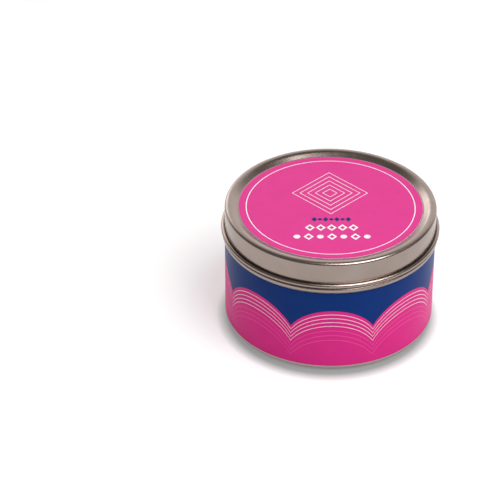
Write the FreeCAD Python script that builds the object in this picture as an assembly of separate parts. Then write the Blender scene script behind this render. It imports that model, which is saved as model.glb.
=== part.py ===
import FreeCAD, Part
import math
import os

os.makedirs("parts", exist_ok=True)

# A round candle tin with a slip lid, in millimetres. The tin stands on z = 0 and is turned
# round Z; its front is -Y. A drawn tinplate tin with a wrap label holds a container candle:
# wax, a cotton wick, and the wick's sustainer on a sticker. A lid with its own label slips
# over the tin's neck and stops on the rolled rim.

# Driving dimensions
SHEET = 0.25             # tinplate thickness
LABEL = 0.15             # label stock thickness
CLEAR = 0.3              # gap between the lid and the tin's rim and bead

WALL_R = 41.25           # outside radius of the tin's wall
BASE_CORNER_R = 2.8      # outside radius from wall to base
BASE_RECESS = 0.8        # how far the base panel is pushed up from the foot ring
BASE_PANEL_R = 33.4      # base panel, to its step
FOOT_IN_R = 34.6         # inner edge of the flat foot ring
STEP_BEND = 0.5          # bends of the steps in base and lid panel

BEAD_Z = 38.85           # middle height of the bead above the wrap label
BEAD_R = 42.4            # outside radius of the bead
BEAD_HALF = 1.0          # half the bead's height
BEAD_BEND = 0.6          # bends of the bead's shoulders
BEAD_FILLET = 0.35       # bend between bead and wall
NECK_R = 40.85           # outside radius of the neck that the lid slips over
ROLL_R = 0.75            # outside radius of the rim's inward roll

LID_TOP = 50.9           # top of the lid's raised ring, the full height
LID_BOTTOM = 40.2        # underside of the lid's curled edge
SKIRT_R = 41.45          # outside radius of the lid's skirt
LID_PANEL_Z = 49.55      # top face of the recessed label panel
RING_RISE_DEG = 30.0     # slope from the label panel up to the ring's rounded top
RING_CREST_R = 39.8      # where the ring is highest
RING_CROWN_R = 3.6       # outside radius of its rounded top
RING_FALL_DEG = 12.5     # slope from the rounded top down to the skirt
LID_CORNER_R = 1.1       # outside radius from ring to skirt
CURL_R = 0.85            # outside radius of the lid's curled edge

WRAP_LOW = 2.9           # wrap label, lower and upper edge
WRAP_HIGH = 37.3
WRAP_LAP_DEG = 7.0       # width of the wrap label's overlap, at the back
LID_LABEL_R = 36.0
BASE_LABEL_R = 30.0

WAX_Z = 41.0             # wax surface
WAX_CREEP = 0.6          # how far the wax climbs the wall
WAX_CREEP_WIDTH = 2.2    # how far in from the wall the climb starts
WICK_R = 1.0
WICK_TOP = 48.0
WICK_LEAN_DEG = 9.0      # how far the free end of the wick leans
WICK_ELBOW_R = 12.0
WICK_STRAIGHT = 0.8      # straight wick between the wax and the elbow
SUSTAINER_R = 10.0
SUSTAINER_T = 0.3
SUSTAINER_NECK_R = 1.3
SUSTAINER_NECK_H = 6.0
SUSTAINER_FILLET = 0.5
STICKER_R = 9.5
STICKER_T = 0.4

ORIGIN = FreeCAD.Vector(0, 0, 0)
UP = FreeCAD.Vector(0, 0, 1)
BACK_DEG = 90.0          # direction of the back, +Y, from +X
TOUCHING = 1e-6          # points nearer than this are one point

# Middles of the sheet, which the bends are laid out on
half = SHEET / 2
wall_r = WALL_R - half
neck_r = NECK_R - half
skirt_r = SKIRT_R - half
foot_z = half
base_panel_z = BASE_RECESS + half
lid_panel_z = LID_PANEL_Z - half
bead_half = BEAD_HALF - half
roll_r = ROLL_R - half
curl_r = CURL_R - half
rim_top = LID_TOP - SHEET - 2 * CLEAR
roll_top = rim_top - half
curl_low = LID_BOTTOM + half
curl_high = curl_low + 2 * curl_r


def line(start, end):
    return Part.LineSegment(start, end).toShape()


def runs(start, end):
    """A straight edge, or none where two bends meet."""
    if start.distanceToPoint(end) < TOUCHING:
        return []
    return [line(start, end)]


def beside(corners, gap):
    """Edges of a path through (r, z, bend radius) corners, moved left of its travel by gap."""
    points = [FreeCAD.Vector(r, 0, z) for r, z, bend in corners]
    edges = []
    here = points[0]
    for index in range(1, len(points)):
        corner = points[index]
        along = (corner - points[index - 1]).normalize()
        left = FreeCAD.Vector(-along.z, 0, along.x)
        if index == len(points) - 1:
            edges += runs(here + left * gap, corner + left * gap)
            break
        onward = (points[index + 1] - corner).normalize()
        onward_left = FreeCAD.Vector(-onward.z, 0, onward.x)
        bend = corners[index][2]
        turn = math.atan2(along.x * onward.z - along.z * onward.x, along.dot(onward))
        back_off = bend * math.tan(abs(turn) / 2)
        side = math.copysign(1, turn)
        start = corner - along * back_off
        end = corner + onward * back_off
        centre = start + left * bend * side
        middle = centre + (corner - centre).normalize() * (bend - gap * side)
        edges += runs(here + left * gap, start + left * gap)
        edges.append(Part.Arc(start + left * gap, middle, end + onward_left * gap).toShape())
        here = end
    return edges


def turned(edges, angle=360):
    """The solid that a closed outline in the XZ plane makes when it turns round Z."""
    outline = Part.Wire(Part.sortEdges(edges)[0])
    return Part.Face(outline).revolve(ORIGIN, UP, angle)


def sheet(corners):
    """A turned sheet of tinplate whose middle follows the corners."""
    left = beside(corners, half)
    right = beside(corners, -half)
    start = line(left[0].firstVertex().Point, right[0].firstVertex().Point)
    end = line(left[-1].lastVertex().Point, right[-1].lastVertex().Point)
    return turned(left + right + [start, end])


def box_profile(r_in, r_out, low, high):
    """A rectangle in the XZ plane, as edges."""
    corners = [(r_in, low), (r_out, low), (r_out, high), (r_in, high), (r_in, low)]
    points = [FreeCAD.Vector(r, 0, z) for r, z in corners]
    return [line(a, b) for a, b in zip(points, points[1:])]


def tin_corners():
    """The tin's sheet from the middle of the base up to the start of the neck."""
    bead_r = BEAD_R - half
    return [
        (0, base_panel_z, 0),
        (BASE_PANEL_R, base_panel_z, STEP_BEND),
        (FOOT_IN_R, foot_z, STEP_BEND),
        (wall_r, foot_z, BASE_CORNER_R - half),
        (wall_r, BEAD_Z - bead_half, BEAD_FILLET),
        (bead_r, BEAD_Z - bead_half, BEAD_BEND),
        (bead_r, BEAD_Z + bead_half, BEAD_BEND),
        (neck_r, BEAD_Z + bead_half, BEAD_FILLET),
    ]


def tin_body():
    """Drawn tin: recessed base, wall, bead, neck and a rim rolled inward."""
    roll_in = neck_r - 2 * roll_r
    roll_low = roll_top - 2 * roll_r
    return sheet(tin_corners() + [
        (neck_r, roll_top, roll_r),
        (roll_in, roll_top, roll_r),
        (roll_in, roll_low, roll_r),
        (neck_r - 2 * SHEET, roll_low, 0),
    ])


def ring_corners():
    """The lid's sheet from the foot of the raised ring, over its rounded top, to the skirt."""
    rise = math.radians(RING_RISE_DEG)
    fall = math.radians(RING_FALL_DEG)
    lean = (rise - fall) / 2
    crown = RING_CROWN_R - half
    peak = crown / math.cos((rise + fall) / 2)
    peak_r = RING_CREST_R - peak * math.sin(lean)
    peak_z = LID_TOP - RING_CROWN_R + peak * math.cos(lean)
    return [
        (peak_r - (peak_z - lid_panel_z) / math.tan(rise), lid_panel_z, STEP_BEND),
        (peak_r, peak_z, crown),
        (skirt_r, peak_z - (skirt_r - peak_r) * math.tan(fall), LID_CORNER_R - half),
    ]


def lid():
    """Slip lid: recessed label panel, raised ring, skirt and an edge curled outward."""
    curl_out = skirt_r + 2 * curl_r
    tuck = math.radians(35)
    tuck_run = curl_r * math.tan(tuck / 2)
    tuck_r = skirt_r + curl_r - tuck_run
    return sheet([(0, lid_panel_z, 0)] + ring_corners() + [
        (skirt_r, curl_low, curl_r),
        (curl_out, curl_low, curl_r),
        (curl_out, curl_high, curl_r),
        (tuck_r, curl_high, curl_r),
        (tuck_r - tuck_run * math.cos(tuck), curl_high - tuck_run * math.sin(tuck), 0),
    ])


def wrap_label():
    """Paper label round the wall, with its overlap at the back."""
    inner = WALL_R
    outer = WALL_R + LABEL
    band = turned(box_profile(inner, outer, WRAP_LOW, WRAP_HIGH))
    lap = turned(box_profile(outer - LABEL / 2, outer + LABEL, WRAP_LOW, WRAP_HIGH), WRAP_LAP_DEG)
    lap.rotate(ORIGIN, UP, BACK_DEG - WRAP_LAP_DEG / 2)
    return band.fuse(lap).removeSplitter()


def disc(radius, low, thickness):
    return Part.makeCylinder(radius, thickness, FreeCAD.Vector(0, 0, low))


def lid_label():
    return disc(LID_LABEL_R, LID_PANEL_Z, LABEL)


def base_label():
    return disc(BASE_LABEL_R, BASE_RECESS - LABEL, LABEL)


def sticker_low():
    return BASE_RECESS + SHEET


def wick_sticker():
    """Adhesive pad that holds the sustainer to the base."""
    return disc(STICKER_R, sticker_low(), STICKER_T)


def wick_sustainer():
    """Pressed metal tab: a disc with a neck that grips the wick."""
    low = sticker_low() + STICKER_T
    face = low + SUSTAINER_T
    top = low + SUSTAINER_NECK_H
    start = FreeCAD.Vector(SUSTAINER_NECK_R + SUSTAINER_FILLET, 0, face)
    end = FreeCAD.Vector(SUSTAINER_NECK_R, 0, face + SUSTAINER_FILLET)
    centre = FreeCAD.Vector(start.x, 0, end.z)
    inward = FreeCAD.Vector(-1, 0, -1).normalize()
    middle = centre + inward * SUSTAINER_FILLET
    low_in = FreeCAD.Vector(WICK_R, 0, low)
    low_out = FreeCAD.Vector(SUSTAINER_R, 0, low)
    face_out = FreeCAD.Vector(SUSTAINER_R, 0, face)
    top_out = FreeCAD.Vector(SUSTAINER_NECK_R, 0, top)
    top_in = FreeCAD.Vector(WICK_R, 0, top)
    return turned([
        line(low_in, low_out),
        line(low_out, face_out),
        line(face_out, start),
        Part.Arc(start, middle, end).toShape(),
        line(end, top_out),
        line(top_out, top_in),
        line(top_in, low_in),
    ])


def wick():
    """Cotton wick: straight through the wax, then leaning a little to the right."""
    low = FreeCAD.Vector(0, 0, sticker_low() + STICKER_T)
    bend = FreeCAD.Vector(0, 0, WAX_Z + WICK_STRAIGHT)
    lean = math.radians(WICK_LEAN_DEG)

    def on_elbow(angle):
        out = WICK_ELBOW_R * (1 - math.cos(angle))
        return bend + FreeCAD.Vector(out, 0, WICK_ELBOW_R * math.sin(angle))

    elbow_end = on_elbow(lean)
    run = (WICK_TOP - elbow_end.z - WICK_R * math.sin(lean)) / math.cos(lean)
    tip = elbow_end + FreeCAD.Vector(math.sin(lean), 0, math.cos(lean)) * run
    route = Part.Wire([
        line(low, bend),
        Part.Arc(bend, on_elbow(lean / 2), elbow_end).toShape(),
        line(elbow_end, tip),
    ])
    section = Part.Wire(Part.makeCircle(WICK_R, low, UP))
    return route.makePipeShell([section], True, False)


def wax(inside):
    """Poured wax: it fills the tin to WAX_Z, climbs the wall a little, and holds what is inside."""
    wall_top = FreeCAD.Vector(neck_r - half, 0, WAX_Z + WAX_CREEP)
    shore = FreeCAD.Vector(wall_top.x - WAX_CREEP_WIDTH, 0, WAX_Z)
    swing = (WAX_CREEP_WIDTH ** 2 + WAX_CREEP ** 2) / (2 * WAX_CREEP)
    centre = shore + UP * swing
    middle = centre + ((shore + wall_top) * 0.5 - centre).normalize() * swing
    filled = beside(tin_corners() + [(neck_r, wall_top.z, 0)], half)
    middle_low = filled[0].firstVertex().Point
    middle_top = FreeCAD.Vector(0, 0, WAX_Z)
    poured = turned(filled + [
        Part.Arc(wall_top, middle, shore).toShape(),
        line(shore, middle_top),
        line(middle_top, middle_low),
    ])
    for piece in inside:
        poured = poured.cut(piece)
    return poured


def main():
    sustainer = wick_sustainer()
    sticker = wick_sticker()
    cotton = wick()
    parts = {
        "tin_body": tin_body(),
        "wrap_label": wrap_label(),
        "base_label": base_label(),
        "wick_sticker": sticker,
        "wick_sustainer": sustainer,
        "wick": cotton,
        "wax": wax([sticker, sustainer, cotton]),
        "lid": lid(),
        "lid_label": lid_label(),
    }
    for name, shape in parts.items():
        solid = shape.Solids[0]
        print(name, "solids", len(shape.Solids), "valid", solid.isValid(),
              "mm3", round(shape.Volume, 1), "top", round(shape.BoundBox.ZMax, 3))
        solid.exportStep("parts/" + name + ".step")


main()
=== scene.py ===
"""Looks for the candle tin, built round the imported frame.

Lengths in this script are millimetres until a mesh is made, which is in metres. The turned
pieces follow outlines of (r, z) points. The printed labels are white paper with ink on top, and
their white lines are gaps in the ink. The ornament is generic: scallops, rings and lozenges.
"""

import math
import random

import bpy
import numpy as np
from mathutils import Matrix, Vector
from mathutils.geometry import delaunay_2d_cdt


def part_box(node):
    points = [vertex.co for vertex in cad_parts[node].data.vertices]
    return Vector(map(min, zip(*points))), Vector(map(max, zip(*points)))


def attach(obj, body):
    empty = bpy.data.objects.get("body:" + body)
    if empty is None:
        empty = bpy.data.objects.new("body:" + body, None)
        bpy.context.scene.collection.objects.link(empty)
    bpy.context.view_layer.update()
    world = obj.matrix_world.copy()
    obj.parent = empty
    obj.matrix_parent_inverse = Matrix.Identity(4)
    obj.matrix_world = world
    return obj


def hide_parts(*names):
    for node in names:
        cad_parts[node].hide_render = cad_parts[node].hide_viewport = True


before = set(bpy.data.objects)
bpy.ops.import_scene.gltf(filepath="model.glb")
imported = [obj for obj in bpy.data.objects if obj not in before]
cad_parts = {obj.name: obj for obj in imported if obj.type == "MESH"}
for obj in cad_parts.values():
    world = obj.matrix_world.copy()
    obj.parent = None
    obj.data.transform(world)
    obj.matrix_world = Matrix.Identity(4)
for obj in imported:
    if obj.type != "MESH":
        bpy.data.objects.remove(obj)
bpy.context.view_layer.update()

MM = 0.001
TURN_STEPS = 288                      # steps round a turned piece, 1.25 degrees each
STEP_DEG = 360 / TURN_STEPS
BEND_STEP = math.radians(6)           # how finely a bend in an outline is divided
RING_STEPS = 144                      # steps round a printed ring
INK = 0.02                            # how far ink stands on its paper
EDGE_SOFT = 0.03                      # softened edge of a die-cut label, which ink stops short of


# ---------------------------------------------------------------- sizes from the frame

def reach(node):
    """Outer radius, lowest and highest point of a turned CAD node, in millimetres."""
    low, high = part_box(node)
    return -low.y / MM, low.z / MM, high.z / MM


SHEET = 0.25                          # tinplate
HALF = SHEET / 2
BEAD_R, _, RIM_TOP = reach("tin_body")
WRAP_R, WRAP_LOW, WRAP_HIGH = reach("wrap_label")
_, LID_LOW, LID_TOP = reach("lid")
LID_LABEL_R, LID_PANEL_Z, LID_LABEL_Z = reach("lid_label")
BASE_LABEL_R, BASE_LABEL_Z, BASE_RECESS = reach("base_label")
WICK_LOW = reach("wick")[1]
WICK_TOP = reach("wick")[2]
WAX_EDGE_Z = reach("wax")[2]
LABEL = LID_LABEL_Z - LID_PANEL_Z     # thickness of the label stock
WALL_R = WRAP_R - LABEL               # outside of the tin's wall

# Bends and steps of the two pressings, as in the CAD
BASE_CORNER_R = 2.8
BASE_PANEL_R = 33.4
FOOT_IN_R = 34.6
STEP_BEND = 0.5
BEAD_Z = 38.85
BEAD_HALF = 1.0
BEAD_BEND = 0.6
BEAD_FILLET = 0.35
NECK_R = WALL_R - 0.4
ROLL_R = 0.75
SKIRT_R = WALL_R + 0.2
RING_RISE = math.radians(30)
RING_CREST_R = 39.8
RING_CROWN_R = 3.6
RING_FALL = math.radians(12.5)
LID_CORNER_R = 1.1
CURL_R = 0.85

# Wax, wick and label lap, as in the CAD
WAX_CREEP = 0.6
WAX_CREEP_WIDTH = 2.2
WAX_Z = WAX_EDGE_Z - WAX_CREEP
WICK_R = 1.0
WICK_LEAN = math.radians(9)
WICK_ELBOW_R = 12.0
WICK_STRAIGHT = 0.8
LAP_DEG = 7.0


# ---------------------------------------------------------------- outlines

def rounded(corners, gap=0.0):
    """Points along a path of (r, z, bend radius) corners, moved left of its travel by gap."""
    points = [Vector((r, z)) for r, z, bend in corners]
    outline = []
    for index, corner in enumerate(points):
        before = (corner - points[index - 1]).normalized() if index else None
        after = (points[index + 1] - corner).normalized() if index + 1 < len(points) else None
        bend = corners[index][2]
        if before is None or after is None or not bend:
            along = before or after
            outline.append(corner + Vector((-along.y, along.x)) * gap)
            continue
        turn = math.atan2(before.x * after.y - before.y * after.x, before.dot(after))
        side = math.copysign(1, turn)
        start = corner - before * bend * math.tan(abs(turn) / 2)
        centre = start + Vector((-before.y, before.x)) * bend * side
        first = math.atan2(start.y - centre.y, start.x - centre.x)
        steps = max(2, math.ceil(abs(turn) / BEND_STEP))
        for step in range(steps + 1):
            angle = first + turn * step / steps
            spoke = Vector((math.cos(angle), math.sin(angle)))
            outline.append(centre + spoke * (bend - gap * side))
    return [p for i, p in enumerate(outline) if not i or (p - outline[i - 1]).length > 1e-5]


def sheet_outline(corners):
    """Both sides of a tinplate sheet whose middle follows the corners."""
    return rounded(corners, HALF) + rounded(corners, -HALF)[::-1]


# ---------------------------------------------------------------- meshes

def new_object(name, points, faces):
    """A mesh object from points in millimetres."""
    mesh = bpy.data.meshes.new(name)
    mesh.from_pydata([Vector(p) * MM for p in points], [], faces)
    mesh.validate()
    mesh.update()
    thing = bpy.data.objects.new(name, mesh)
    bpy.context.scene.collection.objects.link(thing)
    return thing


def smooth(thing, sharp_deg=35.0):
    """Smooth shading that keeps sharp edges and leaves flat faces flat."""
    thing.data.shade_smooth()
    thing.data.set_sharp_from_angle(angle=math.radians(sharp_deg))
    weighted = thing.modifiers.new("flat_faces_stay_flat", "WEIGHTED_NORMAL")
    weighted.keep_sharp = True
    return thing


def turned(name, outline, ring=False):
    """An (r, z) outline turned round Z. It starts and ends on the axis, or is a closed ring."""
    points = []
    rows = []
    for r, z in outline:
        if r < 1e-6:
            rows.append([len(points)] * TURN_STEPS)
            points.append((0, 0, z))
            continue
        rows.append(list(range(len(points), len(points) + TURN_STEPS)))
        for step in range(TURN_STEPS):
            angle = math.radians(step * STEP_DEG - 90)
            points.append((r * math.cos(angle), r * math.sin(angle), z))
    faces = []
    pairs = list(zip(rows, rows[1:])) + ([(rows[-1], rows[0])] if ring else [])
    for low, high in pairs:
        for step in range(TURN_STEPS):
            onward = (step + 1) % TURN_STEPS
            corners = [low[step], high[step], high[onward], low[onward]]
            faces.append(list(dict.fromkeys(corners)))
    return smooth(new_object(name, points, [f for f in faces if len(f) > 2]))


# ---------------------------------------------------------------- materials

class Finish:
    """A Principled material being put together from nodes, in metres of object space."""

    def __init__(self, name, **values):
        self.material = bpy.data.materials.new(name)
        self.material.use_nodes = True
        self.tree = self.material.node_tree
        self.shader = self.tree.nodes["Principled BSDF"]
        self.place = self.node("ShaderNodeTexCoord").outputs["Object"]
        for socket, value in values.items():
            self.shader.inputs[socket.replace("_", " ")].default_value = value

    def node(self, kind, links=(), **settings):
        made = self.tree.nodes.new(kind)
        for key, value in settings.items():
            setattr(made, key, value)
        for socket, source in dict(links).items():
            if isinstance(source, bpy.types.NodeSocket):
                self.tree.links.new(source, made.inputs[socket])
            else:
                made.inputs[socket].default_value = source
        return made

    def stretch(self, x, y, z):
        """Object space stretched by a factor along each axis."""
        links = {"Vector": self.place, "Scale": (x, y, z)}
        return self.node("ShaderNodeMapping", links).outputs["Vector"]

    def noise(self, size_mm, detail=3.0, rough=0.5, place=None, distortion=0.0):
        """Noise whose blobs are about size_mm across."""
        links = {
            "Vector": place or self.place,
            "Scale": 1 / (size_mm * MM),
            "Detail": detail,
            "Roughness": rough,
            "Distortion": distortion,
        }
        return self.node("ShaderNodeTexNoise", links).outputs["Fac"]

    def cells(self, size_mm, place=None):
        links = {"Vector": place or self.place, "Scale": 1 / (size_mm * MM)}
        return self.node("ShaderNodeTexVoronoi", links).outputs["Distance"]

    def ramp(self, value, *stops):
        """A colour ramp from (position, colour) stops."""
        made = self.node("ShaderNodeValToRGB", {"Fac": value})
        ramp = made.color_ramp
        while len(ramp.elements) < len(stops):
            ramp.elements.new(0.5)
        for element, (position, colour) in zip(ramp.elements, stops):
            element.position = position
            element.color = (*colour, 1)
        return made.outputs["Color"]

    def mix(self, factor, source, colour):
        """source where the factor is 0, and a plain colour where it is 1."""
        made = self.node("ShaderNodeMix", data_type="RGBA")
        self.tree.links.new(factor, made.inputs["Factor"])
        a, b = [s for s in made.inputs if s.type == "RGBA"]
        self.tree.links.new(source, a)
        b.default_value = (*colour, 1)
        return next(s for s in made.outputs if s.type == "RGBA")

    def span(self, value, low, high, start=0.0, end=1.0):
        """value mapped from start..end to low..high, and held there."""
        links = {"Value": value, "From Min": start, "From Max": end, "To Min": low, "To Max": high}
        return self.node("ShaderNodeMapRange", links).outputs["Result"]

    def combine(self, operation, a, b):
        """Two values or sockets added, multiplied and so on."""
        made = self.node("ShaderNodeMath", operation=operation)
        for socket, source in zip(made.inputs, (a, b)):
            if isinstance(source, bpy.types.NodeSocket):
                self.tree.links.new(source, socket)
            else:
                socket.default_value = source
        return made.outputs["Value"]

    def plus(self, a, b):
        return self.combine("ADD", a, b)

    def times(self, a, b):
        return self.combine("MULTIPLY", a, b)

    def set(self, socket, source):
        self.tree.links.new(source, self.shader.inputs[socket])

    def bump(self, height, depth_mm, after=None, strength=1.0):
        links = {"Height": height, "Distance": depth_mm * MM, "Strength": strength}
        if after is not None:
            links["Normal"] = after
        return self.node("ShaderNodeBump", links).outputs["Normal"]


FOOT_SHEEN_TOP = 2.9                        # painted reflection on the tin's outer foot: lighter metal up to this height, from this radius out, fading in over this width
FOOT_SHEEN_R = 38.6                         # from this radius out, fading in over this width
FOOT_SHEEN_FADE = 2.2


def tinplate():
    """Satin tinplate: warm grey, with a soft unevenness, a fine rolled grain and faint scuffs.
    Its outer foot band is painted lighter, a painted reflection of a bright floor.
    """
    metal = Finish("tinplate_satin", Metallic=1.0, Anisotropic=0.1)
    grain = metal.noise(0.16, 3, 0.6, metal.stretch(1, 1, 0.15))
    soft = metal.noise(14, 2, 0.45)
    smears = metal.noise(6, 4, 0.6, distortion=0.5)
    tone = metal.plus(metal.times(grain, 0.15), metal.times(soft, 0.85))
    sheet = metal.ramp(
        tone, (0.35, (0.300, 0.244, 0.215)), (0.5, (0.320, 0.261, 0.231)),
        (0.65, (0.338, 0.279, 0.249)))
    # mask of the outer foot band that gets the painted reflection: low down and far out
    height = metal.node("ShaderNodeSeparateXYZ", {"Vector": metal.place}).outputs["Z"]
    below = metal.span(height, 1.0, 0.0, (FOOT_SHEEN_TOP - 0.3) * MM, FOOT_SHEEN_TOP * MM)
    flat = metal.node("ShaderNodeVectorMath", {0: metal.stretch(1, 1, 0)}, operation="LENGTH")
    outer = metal.span(flat.outputs["Value"], 0.0, 1.0, FOOT_SHEEN_R * MM, (FOOT_SHEEN_R + FOOT_SHEEN_FADE) * MM)
    foot = metal.times(below, outer)
    # painted reflection: the foot band's metal colour is mixed to a light beige, as if it mirrored
    # a bright floor
    metal.set("Base Color", metal.mix(foot, sheet, (0.68, 0.57, 0.545)))
    specks = metal.span(metal.noise(0.5, 2, 0.5), 0.0, 0.12, 0.70, 0.80)
    rough = metal.plus(metal.span(smears, 0.0, 0.06, 0.45, 0.75), metal.span(grain, 0.215, 0.245))
    # roughness from scuffs and specks, plus a rougher foot band under the painted reflection
    scuff_and_sheen_rough = metal.plus(metal.plus(rough, specks), metal.times(foot, 0.26))
    metal.set("Roughness", scuff_and_sheen_rough)
    wavy = metal.bump(metal.noise(7, 2, 0.5), 0.012)
    metal.set("Normal", metal.bump(grain, 0.0004, wavy))
    return metal.material


def paper():
    """White coated label paper, with faint fibres."""
    stock = Finish("label_paper", IOR=1.48)
    fibre = stock.noise(0.25, 5, 0.6)
    stock.set("Base Color", stock.ramp(
        fibre, (0.3, (0.84, 0.80, 0.85)), (0.7, (0.93, 0.88, 0.93))))
    stock.set("Roughness", stock.span(fibre, 0.42, 0.55))
    stock.set("Normal", stock.bump(fibre, 0.004))
    return stock.material


def ink(name, colour, rough, shine):
    """Printed ink: its colour mottles a little, and its gloss follows the paper beneath."""
    print_ = Finish(name, IOR=1.5, Specular_IOR_Level=shine)
    mottle = print_.plus(print_.noise(0.45, 4, 0.6), print_.noise(6, 2, 0.5))
    dark = [c * 0.97 for c in colour]
    light = [min(1.0, c * 1.03 + 0.001) for c in colour]
    print_.set("Base Color", print_.ramp(
        print_.times(mottle, 0.5), (0.36, dark), (0.5, colour), (0.64, light)))
    print_.set("Roughness", print_.span(print_.noise(0.3, 4, 0.6), rough - 0.05, rough + 0.06))
    slow = print_.bump(print_.noise(7, 2, 0.5), 0.02)
    print_.set("Normal", print_.bump(print_.noise(0.22, 4, 0.6), 0.0035, slow))
    return print_.material


def candle_wax():
    """Poured wax: creamy, a little see-through, with faint frosting and a soft skin."""
    wax = Finish(
        "candle_wax", IOR=1.44, Subsurface_Weight=0.55, Subsurface_Scale=0.004,
        Subsurface_Radius=(1.0, 0.72, 0.42))
    frost = wax.noise(3.5, 6, 0.62, distortion=0.4)
    cloud = wax.noise(16, 3, 0.5)
    tone = wax.plus(wax.times(frost, 0.45), wax.times(cloud, 0.55))
    wax.set("Base Color", wax.ramp(
        tone, (0.35, (0.84, 0.715, 0.56)), (0.5, (0.89, 0.785, 0.65)), (0.68, (0.92, 0.845, 0.74))))
    wax.set("Roughness", wax.span(frost, 0.36, 0.52, 0.3, 0.7))
    skin = wax.bump(wax.noise(2.2, 4, 0.55), 0.03)
    wax.set("Normal", wax.bump(wax.noise(0.35, 3, 0.5), 0.006, skin))
    return wax.material


def waxed_cotton():
    """Cotton yarn soaked in wax: cream, with fine fibres along the strand."""
    yarn = Finish("waxed_cotton", IOR=1.45, Subsurface_Weight=0.2, Subsurface_Scale=0.0008)
    fibre = yarn.noise(0.12, 5, 0.65, yarn.stretch(1, 1, 0.35))
    yarn.set("Base Color", yarn.ramp(
        fibre, (0.3, (0.62, 0.50, 0.36)), (0.55, (0.78, 0.68, 0.53)), (0.75, (0.88, 0.80, 0.68))))
    yarn.set("Roughness", yarn.span(fibre, 0.45, 0.72))
    yarn.set("Normal", yarn.bump(fibre, 0.03))
    return yarn.material


def sustainer_metal():
    """Zinc-bright stamped tab, with a coarse spangle."""
    metal = Finish("sustainer_metal", Metallic=1.0)
    spangle = metal.cells(1.1)
    metal.set("Base Color", metal.ramp(
        spangle, (0.0, (0.55, 0.56, 0.57)), (0.8, (0.70, 0.71, 0.72))))
    metal.set("Roughness", metal.span(spangle, 0.26, 0.42))
    metal.set("Normal", metal.bump(metal.noise(0.4, 3, 0.5), 0.004))
    return metal.material


def foam_pad():
    """Closed-cell foam of the adhesive pad."""
    foam = Finish("foam_pad", Roughness=0.8)
    cells = foam.cells(0.3)
    foam.set("Base Color", foam.ramp(
        cells, (0.1, (0.72, 0.72, 0.68)), (0.6, (0.88, 0.88, 0.84))))
    foam.set("Normal", foam.bump(cells, 0.03))
    return foam.material


PINK = (0.66, 0.023, 0.222)
LID_PINK = (0.69, 0.030, 0.255)
PALE_PINK = (0.80, 0.085, 0.32)
BLUE = (0.001, 0.028, 0.165)
LID_SHINE = 0.16                      # specular level of the inks
WRAP_SHINE = 0.07

TINPLATE = tinplate()
PAPER = paper()
LID_PINK_INK = ink("ink_pink_lid", LID_PINK, 0.38, LID_SHINE)
PINK_INK = ink("ink_pink", PINK, 0.38, WRAP_SHINE)
BLUE_INK = ink("ink_blue", BLUE, 0.36, WRAP_SHINE)
PALE_INK = ink("ink_pale_pink", PALE_PINK, 0.38, WRAP_SHINE)
WAX = candle_wax()
COTTON = waxed_cotton()
SUSTAINER_METAL = sustainer_metal()
FOAM = foam_pad()


def dress(thing, material, body, slot, *replaced):
    """Gives a piece its material, attaches it to what it moves with and hides the CAD parts it
    replaces.
    """
    thing.data.materials.clear()
    thing.data.materials.append(material)
    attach(thing, body)
    if replaced:
        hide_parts(*replaced)
    return thing


# ---------------------------------------------------------------- tin and lid

def tin_corners():
    """The middle of the tin's sheet from the centre of the base to the start of the neck."""
    wall = WALL_R - HALF
    bead = BEAD_R - HALF
    bead_half = BEAD_HALF - HALF
    return [
        (0, BASE_RECESS + HALF, 0),
        (BASE_PANEL_R, BASE_RECESS + HALF, STEP_BEND),
        (FOOT_IN_R, HALF, STEP_BEND),
        (wall, HALF, BASE_CORNER_R - HALF),
        (wall, BEAD_Z - bead_half, BEAD_FILLET),
        (bead, BEAD_Z - bead_half, BEAD_BEND),
        (bead, BEAD_Z + bead_half, BEAD_BEND),
        (NECK_R - HALF, BEAD_Z + bead_half, BEAD_FILLET),
    ]


def make_tin():
    neck = NECK_R - HALF
    roll = ROLL_R - HALF
    top = RIM_TOP - HALF
    corners = tin_corners() + [
        (neck, top, roll),
        (neck - 2 * roll, top, roll),
        (neck - 2 * roll, top - 2 * roll, roll),
        (neck - 2 * SHEET, top - 2 * roll, 0),
    ]
    tin = turned("tin_shell", sheet_outline(corners))
    return dress(tin, TINPLATE, "tin", "tinplate", "tin_body")


def ring_corners(panel, skirt):
    """The lid's sheet from the foot of the raised ring, over its rounded top, to the skirt."""
    lean = (RING_RISE - RING_FALL) / 2
    crown = RING_CROWN_R - HALF
    peak = crown / math.cos((RING_RISE + RING_FALL) / 2)
    peak_r = RING_CREST_R - peak * math.sin(lean)
    peak_z = LID_TOP - RING_CROWN_R + peak * math.cos(lean)
    return [
        (peak_r - (peak_z - panel) / math.tan(RING_RISE), panel, STEP_BEND),
        (peak_r, peak_z, crown),
        (skirt, peak_z - (skirt - peak_r) * math.tan(RING_FALL), LID_CORNER_R - HALF),
    ]


def make_lid():
    skirt = SKIRT_R - HALF
    curl = CURL_R - HALF
    panel = LID_PANEL_Z - HALF
    low = LID_LOW + HALF
    high = low + 2 * curl
    tuck = math.radians(35)
    tuck_run = curl * math.tan(tuck / 2)
    tuck_r = skirt + curl - tuck_run
    corners = [(0, panel, 0)] + ring_corners(panel, skirt) + [
        (skirt, low, curl),
        (skirt + 2 * curl, low, curl),
        (skirt + 2 * curl, high, curl),
        (tuck_r, high, curl),
        (tuck_r - tuck_run * math.cos(tuck), high - tuck_run * math.sin(tuck), 0),
    ]
    lid = turned("lid_shell", sheet_outline(corners))
    return dress(lid, TINPLATE, "lid", "tinplate", "lid")


# ---------------------------------------------------------------- printing

def inside(shape, places):
    """Which of the places are inside a convex shape."""
    corners = np.array([tuple(p) for p in shape])
    onward = np.roll(corners, -1, axis=0)
    turns = []
    for (ax, ay), (bx, by) in zip(corners, onward):
        turns.append((bx - ax) * (places[:, 1] - ay) - (by - ay) * (places[:, 0] - ax))
    turns = np.array(turns)
    return (turns >= 0).all(axis=0) | (turns <= 0).all(axis=0)


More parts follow.
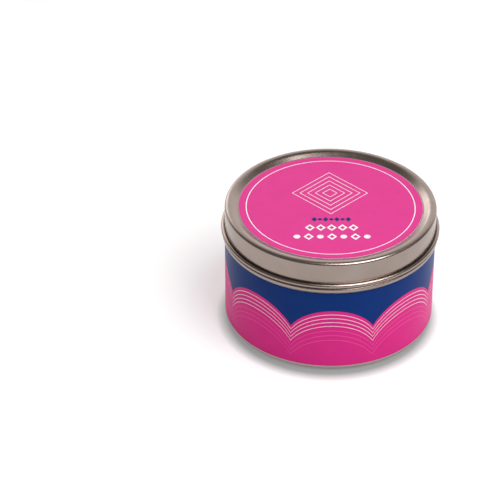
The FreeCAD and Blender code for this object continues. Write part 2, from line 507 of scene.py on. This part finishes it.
def cut_up(outlines, lines):
    """Triangles of a flat print, cut along closed outlines and open lines."""
    points = []
    edges = []
    for shape, closed in [(s, True) for s in outlines] + [(s, False) for s in lines]:
        first = len(points)
        points += [Vector(p) for p in shape]
        edges += [(first + i, first + i + 1) for i in range(len(shape) - 1)]
        if closed:
            edges.append((len(points) - 1, first))
    made = delaunay_2d_cdt(points, edges, [], 0, 1e-5)
    places = np.array([tuple(p) for p in made[0]])
    triangles = np.array([tuple(f) for f in made[2]])
    return places, triangles


def ink_layer(name, places, triangles, put, material, body, slot):
    """A closed layer over flat triangles. put(x, y, lift) gives a point's place and normal."""
    used = sorted(set(triangles.ravel().tolist()))
    index = {old: new for new, old in enumerate(used)}
    count = len(used)
    tops = [put(*places[old], INK) for old in used]
    lows = [put(*places[old], 0.0) for old in used]
    faces = []
    border = {}
    for triangle in triangles.tolist():
        a, b, c = (index[old] for old in triangle)
        faces.append((a, b, c))
        faces.append((c + count, b + count, a + count))
        for start, end in ((a, b), (b, c), (c, a)):
            if (end, start) in border:
                del border[(end, start)]
            else:
                border[(start, end)] = True
    for start, end in border:
        faces.append((start, start + count, end + count, end))
    points = [place for place, normal in tops] + [place for place, normal in lows]
    layer = new_object(name, points, faces)
    layer.data.shade_smooth()
    layer.data.set_sharp_from_angle(angle=math.radians(35))
    loop_normals = [tuple(n.vector) for n in layer.data.corner_normals]
    for polygon in layer.data.polygons:
        if all(v < count for v in polygon.vertices):
            for loop in polygon.loop_indices:
                loop_normals[loop] = tops[layer.data.loops[loop].vertex_index][1]
    layer.data.normals_split_custom_set(loop_normals)
    return dress(layer, material, body, slot)


# ---------------------------------------------------------------- wrap label

RAMP_DEG = 3.0                        # where the label climbs over its own start
LAP_LIFT = LABEL + INK + 0.005        # and how far


def wrap_lift(turn_deg):
    """How far the label stands off the wall at an angle from the front: it laps at the back."""
    over = (turn_deg - (180 - LAP_DEG / 2 - RAMP_DEG)) / RAMP_DEG
    over = min(1.0, max(0.0, over))
    return LAP_LIFT * over * over * (3 - 2 * over)


def wrap_put(turn_deg, z, lift):
    """Place and normal of a point on the wrap label's face. turn_deg is 0 at the front."""
    radius = WALL_R + LABEL + wrap_lift(turn_deg) + lift
    angle = math.radians(turn_deg)
    normal = (math.sin(angle), -math.cos(angle), 0)
    return (radius * normal[0], radius * normal[1], z), normal


def wrap_turns():
    """Angles of the steps along the wrap label, its two ends included."""
    end = 180 + LAP_DEG / 2
    steps = math.floor(end / STEP_DEG)
    inner = [step * STEP_DEG for step in range(-steps, steps + 1)]
    return [-end] + inner + [end]


def make_wrap_paper():
    turns = wrap_turns()
    points = []
    for turn in turns:
        outer_low = wrap_put(turn, WRAP_LOW, 0)[0]
        outer_high = wrap_put(turn, WRAP_HIGH, 0)[0]
        inner_low = wrap_put(turn, WRAP_LOW, -LABEL)[0]
        inner_high = wrap_put(turn, WRAP_HIGH, -LABEL)[0]
        points += [outer_low, outer_high, inner_high, inner_low]
    faces = [(3, 2, 1, 0)]
    for step in range(len(turns) - 1):
        here, there = 4 * step, 4 * step + 4
        for corner in range(4):
            onward = (corner + 1) % 4
            faces.append((here + corner, here + onward, there + onward, there + corner))
    last = 4 * len(turns) - 4
    faces.append((last, last + 1, last + 2, last + 3))
    label = smooth(new_object("wrap_label_paper", points, faces))
    return dress(label, PAPER, "tin", "wrap_paper", "wrap_label")


MM_PER_DEG = math.radians(1) * WRAP_R
SCALLOPS = 8                          # round the tin
SCALLOP_GAP = 360 * MM_PER_DEG / SCALLOPS
SCALLOP_PEAK = 29.0                   # height of the pink scallops, and of the dips between
SCALLOP_DIP = 20.0
ECHO_WIDTH = 0.26
WHITE_ECHOES = (1.7, 3.5, 5.3, 7.1)   # lines that follow the scallops, this far below
PALE_ECHOES = (9.3, 11.5, 13.7)


def scallop_height(x):
    """Height of the pink field's edge: arcs of a circle that meet in cusps."""
    half = SCALLOP_GAP / 2
    rise = SCALLOP_PEAK - SCALLOP_DIP
    radius = (half * half + rise * rise) / (2 * rise)
    across = (x + half) % SCALLOP_GAP - half
    return SCALLOP_PEAK - radius + math.sqrt(radius * radius - across * across)


def on_echo(depths, echoes):
    """Which depths below the scallops' edge are on one of the lines that follow it."""
    found = np.zeros(len(depths), bool)
    for echo in echoes:
        found |= abs(depths - echo) < ECHO_WIDTH / 2
    return found


def make_wrap_print():
    turns = wrap_turns()
    left, right = turns[0] * MM_PER_DEG, turns[-1] * MM_PER_DEG
    frame_line = [(left, WRAP_LOW), (right, WRAP_LOW), (right, WRAP_HIGH), (left, WRAP_HIGH)]
    uprights = [[(t * MM_PER_DEG, WRAP_LOW), (t * MM_PER_DEG, WRAP_HIGH)] for t in turns[1:-1]]
    fine = []
    for turn, onward in zip(turns, turns[1:]):
        fine += [turn, (turn + onward) / 2]
    edge = [turn * MM_PER_DEG for turn in fine + [turns[-1]]]
    cusps = [SCALLOP_GAP * (k + 0.5) for k in range(-SCALLOPS, SCALLOPS)]
    edge += [cusp for cusp in cusps if left < cusp < right]
    scallops = [(x, scallop_height(x)) for x in sorted(edge)]
    lines = [scallops]
    for echo in WHITE_ECHOES + PALE_ECHOES:
        for drop in (echo - ECHO_WIDTH / 2, echo + ECHO_WIDTH / 2):
            lines.append([(x, z - drop) for x, z in scallops])
    places, triangles = cut_up([frame_line], uprights + lines)
    middles = places[triangles].mean(axis=1)
    depths = np.array([scallop_height(x) for x in middles[:, 0]]) - middles[:, 1]
    pink = depths > 0
    bare = on_echo(depths, WHITE_ECHOES)
    pale = on_echo(depths, PALE_ECHOES)

    def put(x, y, lift):
        return wrap_put(x / MM_PER_DEG, y, lift)

    layers = [
        ("wrap_ink_blue", ~bare & ~pink, BLUE_INK),
        ("wrap_ink_pink", ~bare & pink & ~pale, PINK_INK),
        ("wrap_ink_pale", ~bare & pink & pale, PALE_INK),
    ]
    for name, chosen, material in layers:
        ink_layer(name, places, triangles[chosen], put, material, "tin", "wrap_paper")


# ---------------------------------------------------------------- round labels

def round_paper(name, radius, low, high, body, slot, node):
    """A die-cut paper disc with its edge a little softened."""
    soft = EDGE_SOFT
    outline = [(0, low), (radius - soft, low), (radius, low + soft), (radius, high - soft),
               (radius - soft, high), (0, high)]
    return dress(turned(name, [Vector(p) for p in outline]), PAPER, body, slot, node)


def circle(centre, radius, steps=24):
    angles = [2 * math.pi * k / steps for k in range(steps)]
    return [Vector(centre) + radius * Vector((math.cos(a), math.sin(a))) for a in angles]


def lozenge(centre, half_width, half_height):
    x, y = centre
    return [Vector(p) for p in (
        (x + half_width, y), (x, y + half_height), (x - half_width, y), (x, y - half_height))]


def row(half_length, y, count):
    """Evenly spaced places in a row across the label."""
    return [(2 * half_length * k / (count - 1) - half_length, y) for k in range(count)]


LINE = 0.4                            # width of the lid's white lines
LID_RING_R = 33.2
NESTED_CENTRE = (0, 9.5)
NESTED_SIZES = (15, 12, 9, 6, 3)
BLUE_ROW = (6.6, -9.2, 7)             # rows of marks: half length, y and number
UPPER_ROW = (8.4, -14.9, 5)
LOWER_ROW = (13.5, -21.1, 7)
WHITE_LOZENGE = (1.95, 2.25)          # half width and half height
WHITE_DOT_R = 1.3
BLUE_LOZENGE = (1.15, 1.6)
BLUE_DOT_R = 0.85
BASE_RING_IN = (2.5, 3.3)             # the base label's ring, in from its edge
BASE_NESTED_SIZES = (8, 5.6, 3.2)
BASE_LINE = 0.5


def nested_lozenges(centre, sizes, line):
    """Outlines of lozenges inside one another, each as its outer and inner edge."""
    shapes = []
    for size in sizes:
        shapes += [lozenge(centre, size, size), lozenge(centre, size - line, size - line)]
    return shapes


def open_lozenge(centre, half_width, half_height):
    """A lozenge and the smaller one left out of its middle."""
    return [lozenge(centre, half_width, half_height),
            lozenge(centre, half_width / 2, half_height / 2)]


def lid_shapes():
    """Edges of the white marks and the blue marks of the lid's print. There is no lettering."""
    white = [circle((0, 0), r, RING_STEPS) for r in (LID_RING_R, LID_RING_R - LINE)]
    white += nested_lozenges(NESTED_CENTRE, NESTED_SIZES, LINE)
    lower = row(*LOWER_ROW)
    for place in row(*UPPER_ROW) + lower[1::2]:
        white += open_lozenge(place, *WHITE_LOZENGE)
    white += [circle(place, WHITE_DOT_R) for place in lower[::2]]
    blue = []
    for index, place in enumerate(row(*BLUE_ROW)):
        dot = index % 2
        blue.append(circle(place, BLUE_DOT_R, 16) if dot else lozenge(place, *BLUE_LOZENGE))
    return white, blue


def make_round_print(prefix, radius, z, up, layers, body, slot):
    """Ink on a round label. layers is the print's shapes and, for each ink, its name, its
    material and a test of which places it covers."""
    side = 1 if up else -1

    def put(x, y, lift):
        return (x * side, y, z + lift * side), (0, 0, side)

    shapes, named = layers
    places, triangles = cut_up([circle((0, 0), radius, TURN_STEPS)] + shapes, [])
    middles = places[triangles].mean(axis=1)
    for name, material, test in named:
        ink_layer(prefix + name, places, triangles[test(middles)], put, material, body, slot)


def any_inside(shapes):
    """A test of which places are inside any of the shapes."""
    def test(middles):
        found = np.zeros(len(middles), bool)
        for shape in shapes:
            found |= inside(shape, middles)
        return found
    return test


def odd_inside(shapes):
    """A test of which places are inside an odd number of the shapes, so between two edges."""
    def test(middles):
        found = np.zeros(len(middles), bool)
        for shape in shapes:
            found ^= inside(shape, middles)
        return found
    return test


def make_lid_label():
    round_paper("lid_label_paper", LID_LABEL_R, LID_PANEL_Z, LID_LABEL_Z, "lid", "lid_paper",
                "lid_label")
    white, blue = lid_shapes()
    in_white, in_blue = odd_inside(white), any_inside(blue)
    make_round_print("lid_ink_", LID_LABEL_R - EDGE_SOFT, LID_LABEL_Z, True, (white + blue, [
        ("pink", LID_PINK_INK, lambda m: ~in_white(m) & ~in_blue(m)),
        ("blue", BLUE_INK, in_blue),
    ]), "lid", "lid_paper")


def make_base_label():
    """Plain sticker under the base: a printed ring and a small nest of lozenges."""
    round_paper("base_label_paper", BASE_LABEL_R, BASE_LABEL_Z, BASE_RECESS, "tin", "base_paper",
                "base_label")
    shapes = [circle((0, 0), BASE_LABEL_R - gap, RING_STEPS) for gap in BASE_RING_IN]
    shapes += nested_lozenges((0, 0), BASE_NESTED_SIZES, BASE_LINE)
    make_round_print("base_ink_", BASE_LABEL_R - EDGE_SOFT, BASE_LABEL_Z, False, (shapes, [
        ("blue", BLUE_INK, odd_inside(shapes)),
    ]), "tin", "base_paper")


# ---------------------------------------------------------------- candle

def wax_height(x, y):
    """How far the wax's surface is off level, in millimetres."""
    far = math.hypot(x, y)
    waves = (
        0.05 * math.sin(x / 7.1 + 0.6) * math.cos(y / 8.3 - 0.4)
        + 0.035 * math.sin((x + 0.8 * y) / 4.6 + 1.9)
        + 0.02 * math.sin((y - 0.6 * x) / 2.9 + 0.3)
    )
    climb = 0.32 * math.exp(-((far - WICK_R) / 0.7))
    dip = -0.22 * math.exp(-((far - 5.0) / 4.0) ** 2)
    return waves * min(1.0, max(0.0, (far - WICK_R) / 3)) + climb + dip


def make_wax():
    """The poured wax. Its sides follow the inside of the tin; its top is uneven."""
    wall = NECK_R - SHEET
    swing = (WAX_CREEP_WIDTH ** 2 + WAX_CREEP ** 2) / (2 * WAX_CREEP)
    sides = rounded(tin_corners() + [(NECK_R - HALF, WAX_EDGE_Z, 0)], HALF)
    creep = []
    for step in range(1, 9):
        inward = WAX_CREEP_WIDTH * step / 8
        left = WAX_CREEP_WIDTH - inward
        creep.append(Vector((wall - inward, WAX_Z + swing - math.sqrt(swing ** 2 - left ** 2))))
    flat_r = wall - WAX_CREEP_WIDTH
    flat = [Vector((flat_r * (1 - step / 46), WAX_Z)) for step in range(1, 44)]
    near = [Vector((r, WAX_Z)) for r in (1.5, 1.25, 1.05, WICK_R * 0.9, 0.5, 0.0)]
    wax = turned("poured_wax", sides + creep + flat + near)
    for vertex in wax.data.vertices:
        x, y, z = vertex.co / MM
        if z > WAX_Z - 0.01 and math.hypot(x, y) < wall - 0.02:
            fade = min(1.0, (wall - math.hypot(x, y)) / 4)
            vertex.co.z += wax_height(x, y) * fade * MM
    return dress(wax, WAX, "tin", "wax", "wax")


def wick_spine(distance):
    """A point on the wick's middle line and the direction there, at a distance up from its foot."""
    straight = WAX_Z + WICK_STRAIGHT - WICK_LOW
    if distance <= straight:
        return Vector((0, 0, WICK_LOW + distance)), 0.0
    bent = min(distance - straight, WICK_ELBOW_R * WICK_LEAN)
    angle = bent / WICK_ELBOW_R
    out = WICK_ELBOW_R * (1 - math.cos(angle))
    up = WICK_ELBOW_R * math.sin(angle)
    left = distance - straight - bent
    return Vector((out + left * math.sin(angle), 0,
                   WAX_Z + WICK_STRAIGHT + up + left * math.cos(angle))), angle


def make_wick():
    """A round plait of cotton strands, half turning each way, passing over and under."""
    strands = 8
    strand_r = 0.30
    plait_r = WICK_R - strand_r - 0.06
    pitch = 7.0
    weave_depth = 0.13
    fray_depth = 0.35
    sides = 8
    length = WICK_TOP - WICK_LOW - 0.25   # the rest is room for the strands' slant at the tip
    steps = 420
    points = []
    faces = []
    fray = random.Random(5)
    for strand in range(strands):
        way = 1 if strand % 2 else -1
        phase = 2 * math.pi * (strand // 2) / (strands / 2)
        end = length - fray.uniform(0.0, fray_depth)
        line = []
        for step in range(steps + 1):
            distance = end * step / steps
            spine, lean = wick_spine(distance)
            turn = way * 2 * math.pi * distance / pitch + phase
            weave = weave_depth * way * math.cos(strands / 2 * (2 * math.pi * distance / pitch))
            radius = plait_r + weave
            right = Vector((math.cos(lean), 0, -math.sin(lean)))
            line.append(spine + right * radius * math.cos(turn)
                        + Vector((0, 1, 0)) * radius * math.sin(turn))
        first = len(points)
        for step, middle in enumerate(line):
            along = (line[min(step + 1, steps)] - line[max(step - 1, 0)]).normalized()
            across = along.cross(Vector((0, 1, 0))).normalized()
            other = along.cross(across)
            for side in range(sides):
                angle = 2 * math.pi * side / sides
                points.append(middle + across * strand_r * math.cos(angle)
                              + other * strand_r * math.sin(angle))
        for step in range(steps):
            for side in range(sides):
                a = first + step * sides + side
                b = first + step * sides + (side + 1) % sides
                faces.append((a, b, b + sides, a + sides))
        faces.append([first + side for side in range(sides)][::-1])
        faces.append([first + steps * sides + side for side in range(sides)])
    wick = new_object("braided_wick", points, faces)
    wick.data.shade_smooth()
    return dress(wick, COTTON, "tin", "cotton", "wick")


def finish_hidden_pieces():
    """The sustainer and its pad stay as the CAD has them, with real materials."""
    for node, material in (("wick_sustainer", SUSTAINER_METAL), ("wick_sticker", FOAM)):
        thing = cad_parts[node]
        thing.data.materials.clear()
        thing.data.materials.append(material)


# ---------------------------------------------------------------- stage

# Sizes and places on the stage are in metres
ROOM = (0.20, 0.185, 0.18)
BACK_WALL = (1.25, 1.22, 1.22)
SHADE_CENTRE = (-0.0003, -0.0026, 0)  # the floor's contact shade: its middle, and from where
SHADE_REACH = (0.0400, 0.0455)        # to where it fades
SHADE_GLOW = (0.26, 0.47)             # the floor's own light inside the shade and outside it
SHADE_GREY = (0.11,) * 3              # and its colour
FLOOR_GREY = (0.6,) * 3
FLOOR_HALF = 4.0


def aim(thing, target):
    thing.rotation_euler = (Vector(target) - thing.location).to_track_quat("-Z", "Y").to_euler()


def softbox(name, place, target, width, height, power, colour=(1, 1, 1)):
    light = bpy.data.lights.new(name, "AREA")
    light.shape = "RECTANGLE"
    light.size = width
    light.size_y = height
    light.energy = power
    light.color = colour
    thing = bpy.data.objects.new(name, light)
    bpy.context.scene.collection.objects.link(thing)
    thing.location = place
    aim(thing, target)
    return thing


def make_room():
    """The world: a dim room with a bright wall behind the object and a pale horizon all round."""
    world = bpy.data.worlds.new("studio")
    bpy.context.scene.world = world
    world.use_nodes = True
    tree = world.node_tree

    def node(kind, **inputs):
        made = tree.nodes.new(kind)
        for name, source in inputs.items():
            socket = made.inputs[name.replace("_", " ")]
            if isinstance(source, bpy.types.NodeSocket):
                tree.links.new(source, socket)
            else:
                socket.default_value = source
        return made

    def combine(operation, a, b):
        made = tree.nodes.new("ShaderNodeMath")
        made.operation = operation
        tree.links.new(a, made.inputs[0])
        tree.links.new(b, made.inputs[1])
        return made.outputs["Value"]

    place = node("ShaderNodeTexCoord").outputs["Generated"]
    split = node("ShaderNodeSeparateXYZ", Vector=place)
    behind = node("ShaderNodeMapRange", Value=split.outputs["Y"], From_Min=0.45, From_Max=0.75)
    below = node("ShaderNodeMapRange", Value=split.outputs["Z"], From_Min=0.84, From_Max=0.58)
    horizon = node("ShaderNodeMapRange", Value=split.outputs["Z"], From_Min=0.10, From_Max=0.05,
                   To_Max=0.4)
    wall = combine("MULTIPLY", behind.outputs["Result"], below.outputs["Result"])
    ramp = node("ShaderNodeValToRGB", Fac=combine("MAXIMUM", wall, horizon.outputs["Result"]))
    ramp.color_ramp.elements[0].color = (*ROOM, 1)
    ramp.color_ramp.elements[1].color = (*BACK_WALL, 1)
    tree.links.new(ramp.outputs["Color"], tree.nodes["Background"].inputs["Color"])


def make_stage():
    scene = bpy.context.scene
    scene.view_settings.view_transform = "Standard"
    half = FLOOR_HALF / MM
    corners = [(-half, -half, 0), (half, -half, 0), (half, half, 0), (-half, half, 0)]
    floor = new_object("floor", corners, [(0, 1, 2, 3)])
    card = Finish("floor_card", Roughness=0.9, Emission_Color=(1, 1, 1, 1),
                  Specular_IOR_Level=0.0)
    off = card.node("ShaderNodeVectorMath", {0: card.place, 1: SHADE_CENTRE}, operation="SUBTRACT")
    far = card.node("ShaderNodeVectorMath", {0: off.outputs["Vector"]}, operation="LENGTH")
    glow = card.span(far.outputs["Value"], *SHADE_GLOW, *SHADE_REACH)
    card.set("Emission Strength", glow)
    card.set("Base Color", card.ramp(
        card.span(glow, 0.0, 1.0, *SHADE_GLOW), (0.0, SHADE_GREY), (0.9, FLOOR_GREY)))
    floor.data.materials.append(card.material)
    make_room()
    middle = (0, 0, 0.03)
    softbox("key_front_right", (0.43, -0.42, 1.13), middle, 0.8, 0.8, 15.0)
    softbox("glow_back_left", (-0.55, 1.25, 0.66), middle, 0.6, 0.6, 1.9)


def make_camera():
    camera = bpy.data.cameras.new("camera")
    camera.lens = 174.6
    camera.sensor_width = 36
    camera.clip_end = 20
    thing = bpy.data.objects.new("camera", camera)
    bpy.context.scene.collection.objects.link(thing)
    thing.location = (-0.0315, -0.791, 0.572)
    thing.rotation_euler = (math.radians(90 - 34.47), 0, 0)
    bpy.context.scene.camera = thing


make_camera()
make_stage()
make_tin()
make_lid()
make_wrap_paper()
make_wrap_print()
make_lid_label()
make_base_label()
make_wax()
make_wick()
finish_hidden_pieces()
